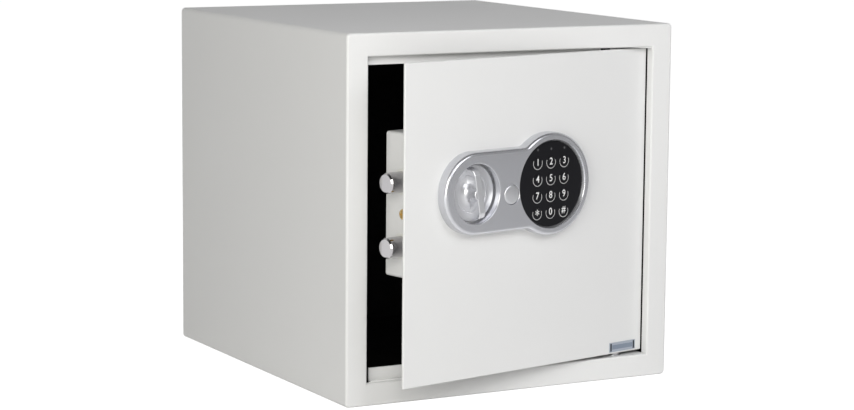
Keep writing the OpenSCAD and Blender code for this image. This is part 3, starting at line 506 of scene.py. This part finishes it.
# The outer surface of the sheet, before it has a thickness
def foldSheet(v):
    bm = bmesh.new()
    half, front, height, inner = v["width"] / 2, v["front"], v["height"], v["width"] / 2 - v["rail"]
    floorZ, ceilingZ = v["rail"], height - v["rail"]
    stopY, cutY, lowLeft = front + v["returnDepth"], front + v["cutFrom"], v["cornerGap"] - inner
    addBox(bm, (-half, front, 0), (half, v["back"], height))
    opening = next(f for f in bm.faces if f.normal.y < -facing)
    rear = next(f for f in bm.faces if f.normal.y > facing)
    bmesh.ops.delete(bm, geom=[rear], context="FACES_ONLY")
    bmesh.ops.inset_region(bm, faces=[opening], thickness=v["rail"], use_even_offset=True)
    deep = bmesh.ops.extrude_face_region(bm, geom=[opening])["geom"]
    bmesh.ops.translate(bm, vec=(0, v["returnDepth"], 0), verts=vertsIn(deep))
    bmesh.ops.delete(bm, geom=[g for g in deep if isinstance(g, bmesh.types.BMFace)], context="FACES_ONLY")
    bmesh.ops.delete(bm, geom=[opening], context="FACES_ONLY")

    def onLevel(c):
        return near(c.z, floorZ) or near(c.z, ceilingZ)

    def flatReturns():
        return [f for f in bm.faces if abs(f.normal.z) > facing and onLevel(f.calc_center_median())]

    # the upper and lower returns end before the hinge plates, and the lower one leaves its left corner free
    for point, normal in (((v["hingeCut"], 0, 0), (1, 0, 0)), ((0, cutY, 0), (0, 1, 0)),
                          ((lowLeft, 0, 0), (1, 0, 0))):
        around = flatReturns()
        parts = around + [e for f in around for e in f.edges] + [x for f in around for x in f.verts]
        bmesh.ops.bisect_plane(bm, geom=list(dict.fromkeys(parts)), plane_co=point, plane_no=normal,
            dist=mergeGap)

    def beyondCuts(c):
        return c.y > cutY and (c.x > v["hingeCut"] or (c.x < lowLeft and near(c.z, floorZ)))

    gone = [f for f in flatReturns() if beyondCuts(f.calc_center_median())]
    bmesh.ops.delete(bm, geom=gone, context="FACES")

    # the stops are folded up and down from the rear edges of the returns
    for level, rise, left in ((floorZ, v["stopLow"], lowLeft), (ceilingZ, -v["stopHigh"], -inner)):
        rearEdges = [e for e in bm.edges if bothEnds(e, lambda c: near(c.y, stopY) and near(c.z, level)
            and between(left, c.x, v["hingeCut"]))]
        lifted = bmesh.ops.extrude_edge_only(bm, edges=rearEdges)["geom"]
        bmesh.ops.translate(bm, vec=(0, 0, rise), verts=vertsIn(lifted))

    def onFace(c):
        return near(c.y, front)

    def onOpening(c):
        return onFace(c) and between(-inner, c.x, inner) and between(floorZ, c.z, ceilingZ)

    def onLongCorner(c):
        return near(abs(c.x), half) and (near(c.z, 0) or near(c.z, height))

    def meetsSide(e):
        return len(e.link_faces) == 2 and any(abs(f.normal.y) < 1 - facing for f in e.link_faces)

    def foldsStop(e):
        return (len(e.link_faces) == 2 and bothEnds(e, lambda c: near(c.y, stopY) and onLevel(c))
            and abs(e.link_faces[0].normal.dot(e.link_faces[1].normal)) < 1 - facing)

    bevelEdges(bm, [e for e in bm.edges if bothEnds(e, onLongCorner)
        and not near(e.verts[0].co.y, e.verts[1].co.y)], v["longBend"], segments=8)
    bevelEdges(bm, [e for e in bm.edges if bothEnds(e, onFace) and meetsSide(e)
        and not bothEnds(e, onOpening)], v["faceBend"], segments=6)
    bevelEdges(bm, [e for e in bm.edges if bothEnds(e, onOpening) and meetsSide(e)], v["openingBend"],
        segments=5)
    bevelEdges(bm, [e for e in bm.edges if foldsStop(e)], v["stopBend"], segments=3)
    return bm


def makeCabinet(v):
    folded = placeMesh("foldedSheet", foldSheet(v))
    thick = folded.modifiers.new("sheet", "SOLIDIFY")
    thick.thickness = v["sheet"]
    thick.offset = -1
    thick.use_even_offset = True
    drills = bmesh.new()
    for side in (-1, 1):
        rod = bmesh.ops.create_cone(drills, cap_ends=True, segments=v["anchorSides"],
            radius1=v["anchorRadius"], radius2=v["anchorRadius"], depth=v["drillLength"])["verts"]
        bmesh.ops.translate(drills, vec=(side * v["anchorPitch"] / 2, 0, 0), verts=rod)
    finishPiece("cabinetSheet", cutBy(takeBack(folded), drills), whitePaint, "body", onDoor=False, sharp=50,
        replaces=("body_shell", "front_frame"))


makeCabinet(cabinet)
print("cabinet folded")

# Door plate and lock box, their edges eased as on bent and ground steel
doorEdges = {"plateEase": 0.0013, "boxEase": 0.0016, "boxRim": 0.0031}


def makeDoorPlate(v):
    bm = copyPart("door_panel")
    low, high = cornersOf(bm)

    def onBorder(c):
        return near(c.x, low.x) or near(c.x, high.x) or near(c.z, low.z) or near(c.z, high.z)

    bevelEdges(bm, cornerEdges(bm, onBorder, angle=1), v["plateEase"], segments=3)
    finishPiece("doorPlate", bm, whitePaint, "door", replaces=("door_panel",))


def makeLockBox(v):
    bm = copyPart("lock_cover")
    low, high = cornersOf(bm)

    def onRim(c):
        inward = min(c.x - low.x, high.x - c.x, c.z - low.z, high.z - c.z)
        return near(c.y, high.y) and inward < v["boxRim"]

    bevelEdges(bm, cornerEdges(bm, onRim, angle=0.7), v["boxEase"], segments=4)
    finishPiece("lockBox", bm, whitePaint, "door", replaces=("lock_cover",))


makeDoorPlate(doorEdges)
makeLockBox(doorEdges)
print("door plate and lock box eased")

# Escutcheon: outline from arcs, with soft front edges and eased rims
plateShape = {"rise": coverRise, "lobe": 0.040, "padLobe": 0.0506, "blend": 0.010, "roll": 0.0036,
              "well": 0.0288, "wellRim": 0.0011, "padHole": 0.0420, "padSlope": 0.0018, "padRim": 0.0003,
              "capHole": 0.0097, "capRim": 0.0003, "lobeSteps": 48, "padSteps": 84, "blendSteps": 6,
              "wellSides": 96, "padSides": 120, "capSides": 64, "drillFront": -0.02, "drillBack": 0.01,
              "overCut": 0.001, "joinGap": 2e-5, "rimSlack": 6e-5}


# The plate without its holes; arcs ease the bar into the round keypad end, above and below
def drawPlate(v):
    bm = bmesh.new()
    lobe, pad, blend = v["lobe"], v["padLobe"], v["blend"]
    joins = []
    for side in (1, -1):
        z = knobZ + side * (lobe + blend)
        x = padX - math.sqrt((pad + blend) ** 2 - (z - padZ) ** 2)
        joins.append(((x, z), math.degrees(math.atan2(z - padZ, x - padX)) % 360))
    (topCentre, topAngle), (lowCentre, lowAngle) = joins
    sweepArc(bm, (knobX, knobZ), lobe, 90, 180, v["lobeSteps"])
    sweepArc(bm, lowCentre, blend, 90, lowAngle - 270, v["blendSteps"])
    sweepArc(bm, (padX, padZ), pad, lowAngle, 360 - lowAngle + topAngle, v["padSteps"])
    sweepArc(bm, topCentre, blend, topAngle + 180, 90 - topAngle, v["blendSteps"])
    bmesh.ops.remove_doubles(bm, verts=bm.verts, dist=v["joinGap"])
    ends = [point for point in bm.verts if len(point.link_edges) == 1]
    for upper in (True, False):
        bm.edges.new([point for point in ends if (point.co.z > knobZ) == upper])
    bmesh.ops.contextual_create(bm, geom=bm.edges[:])
    lifted = bmesh.ops.extrude_face_region(bm, geom=bm.faces[:])["geom"]
    bmesh.ops.translate(bm, vec=(0, -v["rise"], 0), verts=vertsIn(lifted))
    bmesh.ops.recalc_face_normals(bm, faces=bm.faces)
    return bm


def makeEscutcheon(v):
    front = -v["rise"]
    drills = bmesh.new()
    for centre, radius, sides in (((knobX, knobZ), v["well"], v["wellSides"]),
                                  ((padX, padZ), v["padHole"], v["padSides"]),
                                  ((capX, capZ), v["capHole"], v["capSides"])):
        addRod(drills, centre, radius, v["drillFront"], v["drillBack"], sides)
    bm = cutBy(drawPlate(v), drills)
    countersink = bmesh.new()
    widening = v["padSlope"] / fasciaDrop * (fasciaDrop + v["overCut"])
    addRod(countersink, (padX, padZ), v["padHole"], front - v["overCut"], front + fasciaDrop, v["padSides"],
        frontRadius=v["padHole"] + widening)
    bm = cutBy(bm, countersink)
    rims = (((knobX, knobZ), v["well"], v["wellRim"], 3),
            ((padX, padZ), v["padHole"] + v["padSlope"], v["padRim"], 2),
            ((capX, capZ), v["capHole"], v["capRim"], 1))

    def rimEdges(centre, radius):
        return cornerEdges(bm, lambda c: near(c.y, front)
            and near(math.hypot(c.x - centre[0], c.z - centre[1]), radius, v["rimSlack"]), angle=0.5)

    rimmed = {e for centre, radius, *_ in rims for e in rimEdges(centre, radius)}
    outline = [e for e in cornerEdges(bm, lambda c: near(c.y, front), angle=0.7) if e not in rimmed]
    bevelEdges(bm, outline, v["roll"], segments=6)
    for centre, radius, ease, segments in rims:
        bevelEdges(bm, rimEdges(centre, radius), ease, segments)
    finishPiece("escutcheonShell", bm, silverPaint, "door", replaces=("escutcheon",))


makeEscutcheon(plateShape)
print("escutcheon made")

# Knob: a turned dish with its hub, and the grip bar across it. The soft corners of its profile are listed
# as steps in radius and rise from the sharp ones
knobShape = {"radius": 0.0272, "foot": 0.0004, "face": 0.0038, "dish": 0.0191, "dishDrop": 0.0014,
             "hub": 0.0063, "hubTop": 0.0159, "sides": 128, "lean": 10, "gripWidth": 0.0075,
             "gripTop": 0.0161, "gripBase": 0.0014, "gripFoot": 0.026, "gripShoulder": 0.024,
             "gripCrest": 0.019, "slope": 0.003, "gripEase": 0.0008, "buried": 0.002,
             "rimCorner": [(0, -0.0005), (-0.00015, -0.00015), (-0.0005, 0)],
             "dishCorner": [(0.0004, 0), (0.0001, -0.0001), (-0.0001, -0.0004)],
             "dishFoot": [(-0.0004, 0.0004), (-0.0009, 0), (-0.0040, 0.0001)],
             "hubFlare": [(0.0068, 0.0006), (0.0046, 0.0015), (0.0030, 0.0030), (0.0020, 0.0050),
                          (0.0013, 0.0072)],
             "hubCrown": [(0.0007, -0.0030), (0.0002, -0.0008), (-0.0001, -0.0003), (-0.0005, 0)]}


def addGrip(bm, v):
    bar = bmesh.new()
    half = [(v["gripFoot"], v["gripBase"]), (v["gripShoulder"], v["gripTop"] - v["slope"]),
            (v["gripCrest"], v["gripTop"])]
    whole = half + [(-along, rise) for along, rise in half[::-1]]
    bar.faces.new([bar.verts.new((-v["gripWidth"] / 2, -rise, along)) for along, rise in whole])
    raised = bmesh.ops.extrude_face_region(bar, geom=bar.faces[:])["geom"]
    bmesh.ops.translate(bar, vec=(v["gripWidth"], 0, 0), verts=vertsIn(raised))
    bmesh.ops.recalc_face_normals(bar, faces=bar.faces)
    bevelEdges(bar, [e for e in bar.edges if e.calc_face_angle(0) > 0.3
        and not bothEnds(e, lambda c: c.y > -v["buried"])], v["gripEase"], segments=4)
    spare = bpy.data.meshes.new("grip")
    bar.to_mesh(spare)
    bar.free()
    bm.from_mesh(spare)
    bpy.data.meshes.remove(spare)


def makeKnob(v):
    bm = bmesh.new()
    floor = v["face"] - v["dishDrop"]
    corners = ((v["radius"], v["face"], "rimCorner"), (v["dish"], v["face"], "dishCorner"),
               (v["dish"], floor, "dishFoot"), (v["hub"], floor, "hubFlare"),
               (v["hub"], v["hubTop"], "hubCrown"))
    profile = [(poleRadius, v["foot"]), (v["radius"], v["foot"])]
    profile += [(r + outward, rise + up) for r, rise, steps in corners for outward, up in v[steps]]
    profile.append((poleRadius, v["hubTop"]))
    turnProfile(bm, (0, 0), [(r, -rise) for r, rise in profile], v["sides"])
    addGrip(bm, v)
    lean = Matrix.Rotation(math.radians(-v["lean"]), 3, "Y")
    bmesh.ops.rotate(bm, cent=(0, 0, 0), matrix=lean, verts=bm.verts)
    bmesh.ops.translate(bm, vec=(knobX, 0, knobZ), verts=bm.verts)
    finishPiece("knobHandle", bm, knobPaint, "knob_set", replaces=("knob",))


# Cap over the emergency lock: a plug with a slightly domed face
capShape = {"radius": 0.0094, "backDrop": 0.003, "edgeDrop": 0.0002, "corner": 0.0004, "crownRise": 0.0007,
            "domeReach": 0.96, "domeSteps": 8, "sides": 64}


def makeCap(v):
    bm = bmesh.new()
    back, edge, crown = v["backDrop"] - coverRise, v["edgeDrop"] - coverRise, -v["crownRise"] - coverRise
    turns = [math.radians(90 * k / v["domeSteps"]) for k in range(v["domeSteps"] + 1)]
    dome = [(v["radius"] * math.sin(a) * v["domeReach"] + poleRadius, edge + (crown - edge) * math.cos(a))
            for a in turns]
    side = [(poleRadius, back), (v["radius"], back), (v["radius"], edge + v["corner"])]
    turnProfile(bm, (capX, capZ), side + dome[::-1], v["sides"])
    finishPiece("capPlug", bm, knobPaint, "cap", replaces=("lock_cap",))


makeKnob(knobShape)
makeCap(capShape)
print("knob and cap made")


def makeSpring():
    bm = copyPart("plunger_spring")
    low, high = cornersOf(bm)
    spring = finishPiece("plungerCoil", bm, zincMetal, "door", replaces=("plunger_spring",))
    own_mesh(spring)


makeSpring()
print("plunger spring made")

# Keypad print: figures on the keys, rings on the fascia
keyPrint = {"stepX": 0.0176, "stepZ": 0.0165, "shift": -0.0036, "figure": 0.0098, "starSize": 1.35,
            "narrow": 0.93, "stroke": 0.00005, "lift": 0.00115, "ringRadius": 0.0059, "ringLine": 0.00040,
            "ringGap": 130, "ringSteps": 40, "inkDepth": 0.00003}
signs = {"star": "*", "hash": "#"}


# Four rows of three keys, counted from the upper left
def keyCentre(i, v):
    return (padX + (i % 3 - 1) * v["stepX"], padZ + v["shift"] + (1.5 - i // 3) * v["stepZ"])


def makeFigure(i, name, v):
    curve = bpy.data.curves.new("figure", "FONT")
    curve.body = signs.get(name, name)
    curve.size = v["figure"] * (v["starSize"] if name == "star" else 1.0)
    curve.align_x = "CENTER"
    curve.align_y = "CENTER"
    curve.offset = v["stroke"]
    curve.extrude = v["inkDepth"] / 2
    holder = bpy.data.objects.new("figure", curve)
    bpy.context.scene.collection.objects.link(holder)
    bm = takeBack(holder)
    bmesh.ops.remove_doubles(bm, verts=bm.verts, dist=mergeGap)
    low, high = cornersOf(bm)
    bmesh.ops.translate(bm, vec=(-(low.x + high.x) / 2, -(low.y + high.y) / 2, 0), verts=bm.verts)
    bmesh.ops.scale(bm, vec=(v["narrow"], 1, 1), verts=bm.verts)
    bmesh.ops.rotate(bm, cent=(0, 0, 0), matrix=Matrix.Rotation(math.radians(90), 3, "X"), verts=bm.verts)
    x, z = keyCentre(i, v)
    bmesh.ops.translate(bm, vec=(x, keyFront - v["inkDepth"], z + v["lift"]), verts=bm.verts)
    finishPiece("figure_" + name, bm, whiteInk, "button_" + name)


# Rings that are open at the top, one round each key
def makeRings(v):
    bm = bmesh.new()
    surface = fasciaDrop - coverRise
    top = surface - v["inkDepth"]
    inner, outer = v["ringRadius"] - v["ringLine"] / 2, v["ringRadius"] + v["ringLine"] / 2
    start = math.radians(90 + v["ringGap"] / 2)
    for i in range(len(keyNames)):
        x, z = keyCentre(i, v)
        corners = [(inner, surface), (inner, top), (outer, top), (outer, surface)]
        verts = [bm.verts.new((x + r * math.cos(start), d, z + r * math.sin(start))) for r, d in corners]
        edges = [bm.edges.new(pair) for pair in zip(verts, verts[1:])]
        bmesh.ops.spin(bm, geom=verts + edges, cent=(x, 0, z), axis=(0, -1, 0),
            angle=math.radians(360 - v["ringGap"]), steps=v["ringSteps"], use_duplicate=False)
    bmesh.ops.recalc_face_normals(bm, faces=bm.faces)
    finishPiece("keyRings", bm, whiteInk, "door")


for i, name in enumerate(keyNames):
    makeFigure(i, name, keyPrint)
makeRings(keyPrint)
print("keypad printed")

# Felt strips that close the seams between the linings; the felt's near-black tone is partly painted shade
seamStrip = {"lap": 0.0006, "sideLap": 0.0005, "width": 0.0015}


def makeSeamFelt(v):
    rearLow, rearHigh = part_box("rear_lining")
    matLow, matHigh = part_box("floor_mat")
    topLow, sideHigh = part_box("top_lining")[0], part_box("side_linings")[1]
    strips, lap, width = bmesh.new(), v["lap"], v["width"]
    front, back = matHigh.y - lap, rearLow.y + lap
    addBox(strips, (matLow.x, front, matHigh.z - lap), (matHigh.x, back, rearLow.z + lap))
    addBox(strips, (matLow.x, front, rearHigh.z - lap), (matHigh.x, back, topLow.z + lap))
    for side in (-1, 1):
        left, right = sorted((side * (matHigh.x - lap), side * (sideHigh.x - v["sideLap"])))
        for low, high in ((matHigh.z - width, rearLow.z + lap), (rearHigh.z - lap, topLow.z + width)):
            addBox(strips, (left, matLow.y, low), (right, back, high))
        addBox(strips, (left, rearLow.y, rearLow.z), (right, rearLow.y + width, rearHigh.z))
    finishPiece("seamFelt", strips, feltWithPaintedShade, "body", onDoor=False)


makeSeamFelt(seamStrip)
print("lining seams closed")

# Label: plain film with a grey band between two dark end bars
labelPrint = {"halfWidth": 0.0170, "halfHeight": 0.0040, "bar": 0.0021, "bandGap": 0.0005,
              "bandHeight": 0.0046, "ink": 0.00002}


def makeLabelPrint(v):
    film = copyPart("label_plate")
    low, high = cornersOf(film)
    film.free()
    x, z, face = (low.x + high.x) / 2, (low.z + high.z) / 2, low.y
    bars, band = bmesh.new(), bmesh.new()
    for side in (-1, 1):
        left, right = sorted((x + side * v["halfWidth"], x + side * (v["halfWidth"] - v["bar"])))
        addBox(bars, (left, face - v["ink"], z - v["halfHeight"]), (right, face, z + v["halfHeight"]))
    reach, rise = v["halfWidth"] - v["bar"] - v["bandGap"], v["bandHeight"] / 2
    addBox(band, (x - reach, face - v["ink"], z - rise), (x + reach, face, z + rise))
    finishPiece("labelBars", bars, labelInk, "door")
    finishPiece("labelBand", band, bandInk, "door")


makeLabelPrint(labelPrint)
print("label printed")


# What gloss and glass see, beside what the camera sees
def seenRays(tree):
    path = addNode(tree, "ShaderNodeLightPath")
    gloss = mathNode(tree, "MAXIMUM", path.outputs["Is Glossy Ray"], path.outputs["Is Transmission Ray"])
    return path.outputs["Is Camera Ray"], gloss


# A soft step from one value to another
def softStep(tree, place, start, end, low=0.0, high=1.0):
    step = addNode(tree, "ShaderNodeMapRange", {"From Min": start, "From Max": end, "To Min": low,
        "To Max": high}, interpolation_type="SMOOTHSTEP")
    tree.links.new(place, step.inputs["Value"])
    return step.outputs[0]


# Floor: white paper that keeps the soft shadow; gloss sees it fade towards the front right
floorPaper = {"halfSize": 6, "tone": 0.78, "glow": 0.86, "brightSide": (-0.55, 0.83, 0.0),
              "fadeFrom": -0.9, "fadeTo": 0.25}


def makeFloor(v):
    bm = bmesh.new()
    bmesh.ops.create_grid(bm, x_segments=1, y_segments=1, size=v["halfSize"])
    floor = placeMesh("studioFloor", bm)
    material, tree, shader = newMaterial("studioPaper")
    shader.inputs["Base Color"].default_value = (v["tone"], v["tone"], v["tone"], 1)
    shader.inputs["Roughness"].default_value = 0.9
    shader.inputs["Specular IOR Level"].default_value = 0.1
    camera, gloss = seenRays(tree)
    along = addNode(tree, "ShaderNodeVectorMath", {1: v["brightSide"]}, operation="DOT_PRODUCT")
    tree.links.new(addNode(tree, "ShaderNodeTexCoord").outputs["Object"], along.inputs[0])
    fade = softStep(tree, along.outputs["Value"], v["fadeFrom"], v["fadeTo"])
    seen = mathNode(tree, "MAXIMUM", camera, mathNode(tree, "MULTIPLY", gloss, fade))
    glow = addNode(tree, "ShaderNodeEmission", {"Color": (1, 1, 1, 1)})
    tree.links.new(mathNode(tree, "MULTIPLY", seen, v["glow"]), glow.inputs["Strength"])
    both = addNode(tree, "ShaderNodeAddShader")
    tree.links.new(shader.outputs[0], both.inputs[0])
    tree.links.new(glow.outputs[0], both.inputs[1])
    tree.links.new(both.outputs[0], tree.nodes["Material Output"].inputs["Surface"])
    floor.data.materials.append(material)


# Room: white backdrop behind the safe, dimmer in front of it, with a dark ceiling
room = {"level": 0.19, "front": 0.24, "backdrop": 0.92, "backdropFrom": -0.2, "backdropTo": 0.3,
        "ceiling": 0.25, "ceilingFrom": 0.35, "ceilingTo": 0.75}


def makeRoom(v):
    world = bpy.data.worlds.new("studio")
    bpy.context.scene.world = world
    world.use_nodes = True
    tree = world.node_tree
    sky = tree.nodes["Background"]
    sky.inputs["Color"].default_value = (1, 1, 1, 1)
    camera, gloss = seenRays(tree)
    parts = addNode(tree, "ShaderNodeSeparateXYZ")
    tree.links.new(addNode(tree, "ShaderNodeTexCoord").outputs["Generated"], parts.inputs[0])
    wall = softStep(tree, parts.outputs["Y"], v["backdropFrom"], v["backdropTo"], v["front"], v["backdrop"])
    roof = softStep(tree, parts.outputs["Z"], v["ceilingFrom"], v["ceilingTo"], 1.0, v["ceiling"])
    above = mathNode(tree, "SUBTRACT", mathNode(tree, "MULTIPLY", wall, roof), v["level"])
    mirrored = mathNode(tree, "MULTIPLY", gloss, above)
    white = mathNode(tree, "MULTIPLY", camera, 1 - v["level"])
    strength = mathNode(tree, "ADD", mathNode(tree, "ADD", mirrored, white), v["level"])
    tree.links.new(strength, sky.inputs["Strength"])


# Softboxes: where each stands, what it faces, its size in metres, its power in watts and its tint
lamps = {
    "keySoftbox": {"place": (-0.3, -1.8, 1.55), "aim": (0, -0.2, 0.2), "size": (1.6, 1.2), "power": 7.7,
                   "tint": (0.965, 0.97, 1)},
    "frontSoftbox": {"place": (0.9, -2.2, 1.40), "aim": (0, -0.2, 0.2), "size": (1.4, 1.2), "power": 16,
                     "tint": (0.965, 0.97, 1)},
    "leftSoftbox": {"place": (-1.34, -1.60, 0.70), "aim": (-0.1, -0.2, 0.2), "size": (1.5, 1.2),
                    "power": 23.5, "tint": (1, 0.99, 0.93)},
}


def addLamp(name, v):
    lamp = bpy.data.lights.new(name, "AREA")
    lamp.shape = "RECTANGLE"
    lamp.size, lamp.size_y = v["size"]
    lamp.energy = v["power"]
    lamp.color = v["tint"]
    holder = bpy.data.objects.new(name, lamp)
    bpy.context.scene.collection.objects.link(holder)
    holder.location = v["place"]
    holder.rotation_euler = (Vector(v["aim"]) - Vector(v["place"])).to_track_quat("-Z", "Y").to_euler()


makeFloor(floorPaper)
makeRoom(room)
for name, values in lamps.items():
    addLamp(name, values)
bpy.context.scene.view_settings.view_transform = "Standard"
print("stage and lamps set")
